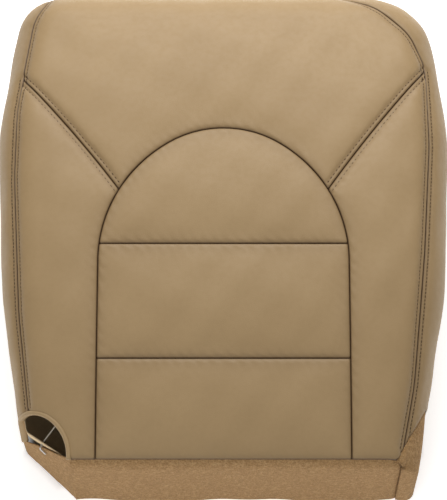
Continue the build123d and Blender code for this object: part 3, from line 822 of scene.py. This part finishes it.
swell = np.sin(np.linspace(0, math.pi, wing["columns"])).clip(0, 1)[None, :, None] ** 0.7 * wing["bulge"]
outerGrid = outerGrid + wingFace * swell
innerGrid = outerGrid - wingFace * form["carpet"]
wingTris = gridTris(wing["rows"], wing["columns"])
probe = wingTris[len(wingTris) // 2]
corner = outerGrid.reshape(-1, 3)[list(probe)]
if np.cross(corner[1] - corner[0], corner[2] - corner[0]) @ wingFace.reshape(-1, 3)[probe[0]] < 0:
    wingTris = [t[::-1] for t in wingTris]
rearWing = shellOf("wingCarpet", outerGrid.reshape(-1, 3), innerGrid.reshape(-1, 3), np.array(wingTris))
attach(rearWing, "cover")
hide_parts("right_rear_wing")
print("carpet corners:", len(rearTab.data.polygons), "and", len(rearWing.data.polygons), "faces")


# shader groups shared by the materials
def addNode(tree, kind, inputs=None, **settings):
    node = tree.nodes.new(kind)
    for key, value in settings.items():
        setattr(node, key, value)
    for key, value in (inputs or {}).items():
        if isinstance(value, bpy.types.NodeSocket):
            tree.links.new(value, node.inputs[key])
        else:
            node.inputs[key].default_value = value
    return node


def newGroup(name, inputs, outputs):
    group = bpy.data.node_groups.new(name, "ShaderNodeTree")
    for label, kind, value in inputs:
        group.interface.new_socket(name=label, in_out="INPUT", socket_type=kind).default_value = value
    for label, kind in outputs:
        group.interface.new_socket(name=label, in_out="OUTPUT", socket_type=kind)
    return group, group.nodes.new("NodeGroupInput"), group.nodes.new("NodeGroupOutput")


def blendColours(tree, factor, first, second, mode="MIX"):
    mix = tree.nodes.new("ShaderNodeMix")
    mix.data_type, mix.blend_type = "RGBA", mode
    for index, value in ((0, factor), (6, first), (7, second)):
        if isinstance(value, bpy.types.NodeSocket):
            tree.links.new(value, mix.inputs[index])
        else:
            mix.inputs[index].default_value = value
    return mix.outputs[2]


def ranged(tree, value, low, high, outLow=0.0, outHigh=1.0):
    return addNode(tree, "ShaderNodeMapRange", {"Value": value, "From Min": low, "From Max": high,
                                                "To Min": outLow, "To Max": outHigh}).outputs[0]


def doMath(tree, operation, first, second):
    return addNode(tree, "ShaderNodeMath", {0: first, 1: second}, operation=operation).outputs[0]


def makeGrainGroup():
    # fine leather pores over slow changes of tone
    tree, given, result = newGroup(
        "leatherGrain",
        [("Colour", "NodeSocketColor", (0.5, 0.4, 0.3, 1)), ("Shade", "NodeSocketColor", (0.3, 0.2, 0.1, 1)),
         ("Pore Scale", "NodeSocketFloat", 900.0), ("Mottle", "NodeSocketFloat", 0.3)],
        [("Colour", "NodeSocketColor"), ("Roughness", "NodeSocketFloat"), ("Height", "NodeSocketFloat")],
    )
    where = tree.nodes.new("ShaderNodeTexCoord").outputs["Object"]
    slow = addNode(tree, "ShaderNodeTexNoise", {"Vector": where, "Scale": 9.0, "Detail": 3.0})
    fine = addNode(tree, "ShaderNodeTexNoise", {"Vector": where, "Scale": 160.0, "Detail": 4.0})
    pores = addNode(tree, "ShaderNodeTexVoronoi", {"Vector": where, "Scale": given.outputs["Pore Scale"]},
                    feature="DISTANCE_TO_EDGE")
    slowMask = ranged(tree, slow.outputs[0], 0.35, 0.70)
    amount = doMath(tree, "MULTIPLY", slowMask, given.outputs["Mottle"])
    toned = blendColours(tree, amount, given.outputs["Colour"], given.outputs["Shade"])
    fleck = ranged(tree, fine.outputs[0], 0.42, 0.70, 0.0, 0.14)
    poreMask = ranged(tree, pores.outputs["Distance"], 0.0, 0.16, 0.10, 0.0)
    both = doMath(tree, "ADD", fleck, poreMask)
    tree.links.new(blendColours(tree, both, toned, given.outputs["Shade"]), result.inputs["Colour"])
    tree.links.new(ranged(tree, fine.outputs[0], 0.3, 0.7, 0.50, 0.60), result.inputs["Roughness"])
    height = doMath(tree, "ADD", ranged(tree, pores.outputs["Distance"], 0.0, 0.20), fine.outputs[0])
    tree.links.new(height, result.inputs["Height"])
    return tree


def makePileGroup():
    # short carpet pile: tufts with lighter tips, and flecks of light and dark
    tree, given, result = newGroup(
        "shortPile",
        [("Colour", "NodeSocketColor", (0.5, 0.4, 0.3, 1)), ("Deep", "NodeSocketColor", (0.3, 0.2, 0.1, 1)),
         ("Tip", "NodeSocketColor", (0.6, 0.5, 0.4, 1)), ("Tuft Scale", "NodeSocketFloat", 620.0)],
        [("Colour", "NodeSocketColor"), ("Height", "NodeSocketFloat")],
    )
    where = tree.nodes.new("ShaderNodeTexCoord").outputs["Object"]
    tufts = addNode(tree, "ShaderNodeTexNoise", {"Vector": where, "Scale": given.outputs["Tuft Scale"], "Detail": 5.0,
                                                 "Roughness": 0.7})
    patches = addNode(tree, "ShaderNodeTexNoise", {"Vector": where, "Scale": 260.0, "Detail": 4.0})
    cells = addNode(tree, "ShaderNodeTexVoronoi", {"Vector": where, "Scale": given.outputs["Tuft Scale"]})
    deep, colour, tip = (given.outputs[label] for label in ("Deep", "Colour", "Tip"))
    dark = blendColours(tree, ranged(tree, tufts.outputs[0], 0.40, 0.60), deep, colour)
    light = blendColours(tree, ranged(tree, patches.outputs[0], 0.50, 0.72, 0.0, 0.60), dark, tip)
    low = blendColours(tree, ranged(tree, patches.outputs[0], 0.30, 0.46, 0.40, 0.0), light, deep)
    tree.links.new(low, result.inputs["Colour"])
    shape = doMath(tree, "SUBTRACT", tufts.outputs[0], doMath(tree, "MULTIPLY", cells.outputs["Distance"], 0.5))
    tree.links.new(shape, result.inputs["Height"])
    return tree


def makeWeaveGroup():
    # plain weave of crossing yarns
    tree, given, result = newGroup(
        "plainWeave",
        [("Colour", "NodeSocketColor", (0.5, 0.4, 0.3, 1)), ("Gap", "NodeSocketColor", (0.2, 0.2, 0.1, 1)),
         ("Yarn Scale", "NodeSocketFloat", 900.0)],
        [("Colour", "NodeSocketColor"), ("Height", "NodeSocketFloat")],
    )
    where = tree.nodes.new("ShaderNodeTexCoord").outputs["Object"]
    bands = [addNode(tree, "ShaderNodeTexWave", {"Vector": where, "Scale": given.outputs["Yarn Scale"],
                                                 "Distortion": 0.6, "Detail": 1.0},
                     bands_direction=way).outputs["Fac"] for way in ("X", "Y", "Z")]
    cloth = doMath(tree, "MAXIMUM", doMath(tree, "MAXIMUM", bands[0], bands[1]), bands[2])
    fuzz = addNode(tree, "ShaderNodeTexNoise", {"Vector": where, "Scale": 60.0, "Detail": 4.0})
    base = blendColours(tree, cloth, given.outputs["Gap"], given.outputs["Colour"])
    soiled = blendColours(tree, ranged(tree, fuzz.outputs[0], 0.4, 0.8, 0.0, 0.35), base, given.outputs["Gap"])
    tree.links.new(soiled, result.inputs["Colour"])
    tree.links.new(cloth, result.inputs["Height"])
    return tree


grainGroup, pileGroup, weaveGroup = makeGrainGroup(), makePileGroup(), makeWeaveGroup()


def newMaterial(name, **constants):
    material = bpy.data.materials.new(name)
    material.use_nodes = True
    shader = material.node_tree.nodes["Principled BSDF"]
    for key, value in constants.items():
        shader.inputs[key.replace("_", " ")].default_value = value
    return material, material.node_tree, shader


def bumped(tree, shader, height, distance, strength=1.0):
    bump = addNode(tree, "ShaderNodeBump", {"Height": height, "Distance": distance, "Strength": strength})
    tree.links.new(bump.outputs[0], shader.inputs["Normal"])


def placeGroup(tree, group, **values):
    node = tree.nodes.new("ShaderNodeGroup")
    node.node_tree = group
    for key, value in values.items():
        node.inputs[key.replace("_", " ")].default_value = value
    return node


# the two darkest colours here are painted shade: one for the seam crevices, one for the band beside seams and stitch
# grooves
leatherLook = {
    "colour": (0.372, 0.250, 0.120, 1), "shade": (0.295, 0.190, 0.084, 1), "seam": (0.070, 0.034, 0.013, 1),
    "nearSeamShadeColour": (0.185, 0.115, 0.052, 1), "poreScale": 780.0, "mottle": 0.30, "grainDepth": 0.00008,
}


def makeLeather(name, colour, shade):
    material, tree, shader = newMaterial(name, Specular_IOR_Level=0.38, Coat_Weight=0.06, Coat_Roughness=0.35)
    grain = placeGroup(tree, grainGroup, Colour=colour, Shade=shade, Pore_Scale=leatherLook["poreScale"],
                       Mottle=leatherLook["mottle"])
    seamCreviceShade = addNode(tree, "ShaderNodeAttribute", attribute_name="seamCreviceShade").outputs["Fac"]
    nearSeamShade = addNode(tree, "ShaderNodeAttribute", attribute_name="nearSeamShade").outputs["Fac"]
    # painted shade: a darker band beside seams and along the stitch grooves
    soft = blendColours(tree, doMath(tree, "MULTIPLY", nearSeamShade, 0.42), grain.outputs["Colour"], leatherLook["nearSeamShadeColour"])
    # painted shade: a dark line down each seam crevice
    deep = blendColours(tree, ranged(tree, seamCreviceShade, 0.12, 0.75), soft, leatherLook["seam"])
    tree.links.new(deep, shader.inputs["Base Color"])
    tree.links.new(grain.outputs["Roughness"], shader.inputs["Roughness"])
    bumped(tree, shader, grain.outputs["Height"], leatherLook["grainDepth"], 0.7)
    return material


def makePile(name, colour, deep, tip):
    material, tree, shader = newMaterial(name, Roughness=0.95, Specular_IOR_Level=0.08, Sheen_Weight=0.06,
                                         Sheen_Roughness=0.6)
    pile = placeGroup(tree, pileGroup, Colour=colour, Deep=deep, Tip=tip, Tuft_Scale=560.0)
    tree.links.new(pile.outputs["Colour"], shader.inputs["Base Color"])
    bumped(tree, shader, pile.outputs["Height"], 0.0022)
    return material


def makeWoven(name, colour, gap, scale, depth=0.0004, roughness=0.85):
    material, tree, shader = newMaterial(name, Roughness=roughness, Specular_IOR_Level=0.2)
    weave = placeGroup(tree, weaveGroup, Colour=colour, Gap=gap, Yarn_Scale=scale)
    tree.links.new(weave.outputs["Colour"], shader.inputs["Base Color"])
    bumped(tree, shader, weave.outputs["Height"], depth)
    return material


def makeSteel(name):
    material, tree, shader = newMaterial(name, Metallic=1.0)
    where = tree.nodes.new("ShaderNodeTexCoord").outputs["Object"]
    streaks = addNode(tree, "ShaderNodeTexNoise", {"Vector": where, "Scale": 420.0, "Detail": 6.0})
    tree.links.new(blendColours(tree, streaks.outputs[0], (0.42, 0.41, 0.40, 1), (0.72, 0.71, 0.70, 1)),
                   shader.inputs["Base Color"])
    tree.links.new(ranged(tree, streaks.outputs[0], 0.3, 0.7, 0.25, 0.45), shader.inputs["Roughness"])
    return material


def makePlastic(name):
    material, tree, shader = newMaterial(name, Specular_IOR_Level=0.4)
    where = tree.nodes.new("ShaderNodeTexCoord").outputs["Object"]
    spark = addNode(tree, "ShaderNodeTexNoise", {"Vector": where, "Scale": 900.0, "Detail": 3.0})
    haze = addNode(tree, "ShaderNodeTexNoise", {"Vector": where, "Scale": 40.0, "Detail": 4.0})
    tree.links.new(blendColours(tree, haze.outputs[0], (0.012, 0.012, 0.013, 1), (0.035, 0.035, 0.037, 1)),
                   shader.inputs["Base Color"])
    tree.links.new(ranged(tree, haze.outputs[0], 0.3, 0.7, 0.40, 0.55), shader.inputs["Roughness"])
    bumped(tree, shader, spark.outputs[0], 0.00008)
    return material


tanLeather = makeLeather("tanLeather", leatherLook["colour"], leatherLook["shade"])
bindingLeather = makeLeather("bindingLeather", (0.400, 0.275, 0.138, 1), (0.310, 0.205, 0.095, 1))
tanPile = makePile("tanPile", (0.510, 0.305, 0.133, 1), (0.350, 0.200, 0.082, 1), (0.62, 0.400, 0.195, 1))
# painted light: the turn-in colour is lightened to stand for light reaching the dark inside of the cover
turnInPaintedLight = makeWoven("turnInPaintedLight", (0.78, 0.60, 0.37, 1), (0.60, 0.45, 0.26, 1), 520.0, 0.0002, 0.95)
foamScrim = makeWoven("foamScrim", (0.42, 0.345, 0.235, 1), (0.28, 0.22, 0.145, 1), 320.0, 0.0002, 0.95)
hemWebbing = makeWoven("hemWebbing", (0.30, 0.235, 0.165, 1), (0.13, 0.10, 0.07, 1), 260.0)
listingCloth = makeWoven("listingCloth", (0.66, 0.64, 0.58, 1), (0.42, 0.40, 0.36, 1), 480.0, 0.0002)
tapeWebbing = makeWoven("tapeWebbing", (0.030, 0.030, 0.032, 1), (0.006, 0.006, 0.007, 1), 260.0)
cordBraid = makeWoven("cordBraid", (0.42, 0.38, 0.31, 1), (0.22, 0.19, 0.15, 1), 700.0, 0.0002)
wireSteel = makeSteel("wireSteel")
hookPlastic = makePlastic("hookPlastic")
sewingThread, threadTree, threadShader = newMaterial("sewingThread", Roughness=0.6, Specular_IOR_Level=0.3)
threadWhere = threadTree.nodes.new("ShaderNodeTexCoord").outputs["Object"]
threadTone = addNode(threadTree, "ShaderNodeTexNoise", {"Vector": threadWhere, "Scale": 800.0, "Detail": 2.0})
threadColour = blendColours(threadTree, threadTone.outputs[0], (0.050, 0.026, 0.010, 1), (0.115, 0.066, 0.030, 1))
threadTree.links.new(threadColour, threadShader.inputs["Base Color"])


def dress(obj, material):
    obj.data.materials.clear()
    obj.data.materials.append(material)


for obj in covers.values():
    dress(obj, tanLeather)
for obj in pads.values():
    dress(obj, foamScrim)
dress(cutBinding, bindingLeather)
dress(cornerTurnIn, turnInPaintedLight)
for obj in (flapSheet, rearTab, rearWing):
    dress(obj, tanPile)
for node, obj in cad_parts.items():
    for ending, material in (("hem_band", hemWebbing), ("listing", listingCloth), ("_wire", wireSteel),
                             ("retainer_tape", tapeWebbing), ("retainer_hook", hookPlastic),
                             ("corner_clip", wireSteel), ("corner_cord", cordBraid)):
        if node.endswith(ending):
            for place in obj.material_slots:
                place.material = material
            if not obj.material_slots:
                obj.data.materials.append(material)
print("materials:", len(bpy.data.materials))


# top-stitches, laid along the seams by geometry nodes
def buildStitchTree():
    tree = bpy.data.node_groups.new("stitchRows", "GeometryNodeTree")
    face = tree.interface
    face.new_socket(name="Geometry", in_out="INPUT", socket_type="NodeSocketGeometry")
    for label, value in (("Pitch", 0.004), ("Stitch Length", 0.003), ("Thread Radius", 0.0004)):
        face.new_socket(name=label, in_out="INPUT", socket_type="NodeSocketFloat").default_value = value
    face.new_socket(name="Thread", in_out="INPUT", socket_type="NodeSocketMaterial")
    face.new_socket(name="Geometry", in_out="OUTPUT", socket_type="NodeSocketGeometry")
    given, result = tree.nodes.new("NodeGroupInput"), tree.nodes.new("NodeGroupOutput")
    asCurve = addNode(tree, "GeometryNodeMeshToCurve", {0: given.outputs["Geometry"]})
    spacing = {"Curve": asCurve.outputs[0], "Length": given.outputs["Pitch"]}
    evenly = addNode(tree, "GeometryNodeResampleCurve", spacing, mode="LENGTH")
    tangent = tree.nodes.new("GeometryNodeInputTangent")
    turned = addNode(tree, "FunctionNodeAlignRotationToVector", {"Vector": tangent.outputs[0]}, axis="Z")
    bead = addNode(tree, "GeometryNodeMeshUVSphere", {"Segments": 7, "Rings": 5, "Radius": 1.0})
    halfLength = addNode(tree, "ShaderNodeMath", {0: given.outputs["Stitch Length"], 1: 0.5}, operation="MULTIPLY")
    radius = given.outputs["Thread Radius"]
    scale = addNode(tree, "ShaderNodeCombineXYZ", {0: radius, 1: radius, 2: halfLength.outputs[0]})
    laid = addNode(tree, "GeometryNodeInstanceOnPoints", {"Points": evenly.outputs[0], "Instance": bead.outputs[0],
                                                          "Rotation": turned.outputs[0], "Scale": scale.outputs[0]})
    real = addNode(tree, "GeometryNodeRealizeInstances", {0: laid.outputs[0]})
    painted = addNode(tree, "GeometryNodeSetMaterial", {"Geometry": real.outputs[0],
                                                        "Material": given.outputs["Thread"]})
    tree.links.new(painted.outputs[0], result.inputs[0])
    return tree


def stitchPath(panel, curve, kind):
    # the seam moved onto the panel by its stitch offset, as runs of points lying on the leather
    loop, kinds = outlines[panel]
    ends = np.roll(loop, -1, axis=0)
    ahead = np.gradient(curve, axis=0)
    ahead /= np.linalg.norm(ahead, axis=1)[:, None]
    side = np.stack([ahead[:, 1], -ahead[:, 0]], axis=1) * sewing[kind + "Offset"]
    both = [curve + side, curve - side]
    ok = [insideLoop(p, loop) for p in both]
    pick = int(ok[1].sum() > ok[0].sum())
    row, inside = both[pick], ok[pick]
    clear = polylineDistance(row, loop, ends)[0] > 0.62 * sewing[kind + "Offset"]
    own = polylineDistance(row, curve[:-1], curve[1:])[0] > 0.95 * sewing[kind + "Offset"]
    good = inside & clear & own
    runs, current = [], []
    for p, keep in zip(row, good):
        if keep:
            current.append(p)
        elif current:
            runs.append(np.array(current))
            current = []
    runs.append(np.array(current))
    out = []
    for run in runs:
        if len(run) > 4:
            run = resample(run, 0.002)
            out.append(surface(run, liftOf(panel, run)[0] + 0.5 * sewing["thread"])[0])
    return out


stitchTree = buildStitchTree()
inputIds = {item.name: item.identifier for item in stitchTree.interface.items_tree if item.in_out == "INPUT"}
for kind in ("side", "diagonal"):
    verts, edges = [], []
    for panel, lines in stitched.items():
        for curve, which in lines:
            if which != kind:
                continue
            for run in stitchPath(panel, curve, kind):
                start = len(verts)
                verts += [tuple(map(float, p)) for p in run]
                edges += [(start + i, start + i + 1) for i in range(len(run) - 1)]
    mesh = bpy.data.meshes.new(kind + "Stitches")
    mesh.from_pydata(verts, edges, [])
    rows = bpy.data.objects.new(kind + "Stitches", mesh)
    bpy.context.scene.collection.objects.link(rows)
    modifier = rows.modifiers.new("stitches", "NODES")
    modifier.node_group = stitchTree
    modifier[inputIds["Pitch"]] = sewing[kind + "Pitch"]
    modifier[inputIds["Stitch Length"]] = sewing["stitchLength"]
    modifier[inputIds["Thread Radius"]] = sewing["thread"]
    modifier[inputIds["Thread"]] = sewingThread
    applied(rows)
    if not rows.data.materials:
        rows.data.materials.append(sewingThread)
    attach(rows, "cover")
    print("stitches:", kind, len(rows.data.polygons), "faces")

# floor, light and camera
studio = {
    "floor": 3.0, "floorColour": (0.92, 0.92, 0.92, 1), "world": 0.42, "key": 15.0, "keySize": 0.9,
    "keyPlace": (0.05, 0.95, 0.95), "fill": 5.0, "fillSize": 1.2, "fillPlace": (-0.5, -1.3, 0.9),
    "floorGlow": 0.55, "glowHalfWidth": 0.222, "glowHalfLength": 0.268, "glowCorner": 0.452, "glowRamp": (0.97, 1.03),
}
cameraPlace = {"azimuth": 0.0, "elevation": 70.0, "distance": 2.6, "target": (0.0, -0.012, 0.070), "lens": 164.1}

floor = makeObject("studioFloor", [(-studio["floor"], -studio["floor"], 0), (studio["floor"], -studio["floor"], 0),
                                   (studio["floor"], studio["floor"], 0), (-studio["floor"], studio["floor"], 0)],
                   [(0, 1, 2, 3)], smooth=False)
floorMaterial, floorTree, floorShader = newMaterial("paleFloor", Roughness=0.9, Specular_IOR_Level=0.1)
floorWhere = floorTree.nodes.new("ShaderNodeTexCoord").outputs["Object"]
floorTone = addNode(floorTree, "ShaderNodeTexNoise", {"Vector": floorWhere, "Scale": 3.0})
floorTree.links.new(blendColours(floorTree, floorTone.outputs[0], studio["floorColour"], (0.94, 0.94, 0.94, 1)),
                    floorShader.inputs["Base Color"])
floorApart = addNode(floorTree, "ShaderNodeSeparateXYZ", {0: floorWhere})
reachX = doMath(floorTree, "DIVIDE", doMath(floorTree, "ABSOLUTE", floorApart.outputs[0], 0.0), studio["glowHalfWidth"])
reachY = doMath(floorTree, "DIVIDE", doMath(floorTree, "ABSOLUTE", floorApart.outputs[1], 0.0), studio["glowHalfLength"])
cornerSum = doMath(floorTree, "ADD", doMath(floorTree, "MULTIPLY", reachX, studio["glowHalfWidth"] / studio["glowCorner"]),
                   doMath(floorTree, "MULTIPLY", reachY, studio["glowHalfLength"] / studio["glowCorner"]))
boxReach = doMath(floorTree, "MAXIMUM", reachX, reachY)
outsideMask = ranged(floorTree, doMath(floorTree, "MAXIMUM", boxReach, cornerSum), *studio["glowRamp"])
floorTree.links.new(outsideMask, floorShader.inputs["Emission Color"])
floorShader.inputs["Emission Strength"].default_value = studio["floorGlow"]
dress(floor, floorMaterial)


def areaLight(name, place, energy, size):
    data = bpy.data.lights.new(name, "AREA")
    data.energy, data.size = energy, size
    lamp = bpy.data.objects.new(name, data)
    lamp.location = place
    lamp.rotation_euler = (Vector(cameraPlace["target"]) - Vector(place)).to_track_quat("-Z", "Y").to_euler()
    bpy.context.scene.collection.objects.link(lamp)


areaLight("keyLight", studio["keyPlace"], studio["key"], studio["keySize"])
areaLight("fillLight", studio["fillPlace"], studio["fill"], studio["fillSize"])
world = bpy.data.worlds.new("studioWorld")
world.use_nodes = True
world.node_tree.nodes["Background"].inputs["Color"].default_value = (1, 1, 1, 1)
world.node_tree.nodes["Background"].inputs["Strength"].default_value = studio["world"]
bpy.context.scene.world = world
bpy.context.scene.view_settings.view_transform = "Standard"

lensData = bpy.data.cameras.new("studioCamera")
lensData.lens, lensData.sensor_width, lensData.sensor_fit = cameraPlace["lens"], 36.0, "AUTO"
studioCamera = bpy.data.objects.new("studioCamera", lensData)
tilt = math.radians(cameraPlace["elevation"])
away = Vector((0, -math.cos(tilt), math.sin(tilt))) * cameraPlace["distance"]
studioCamera.location = Vector(cameraPlace["target"]) + away
studioCamera.rotation_euler = (-away).to_track_quat("-Z", "Y").to_euler()
bpy.context.scene.collection.objects.link(studioCamera)
bpy.context.scene.camera = studioCamera
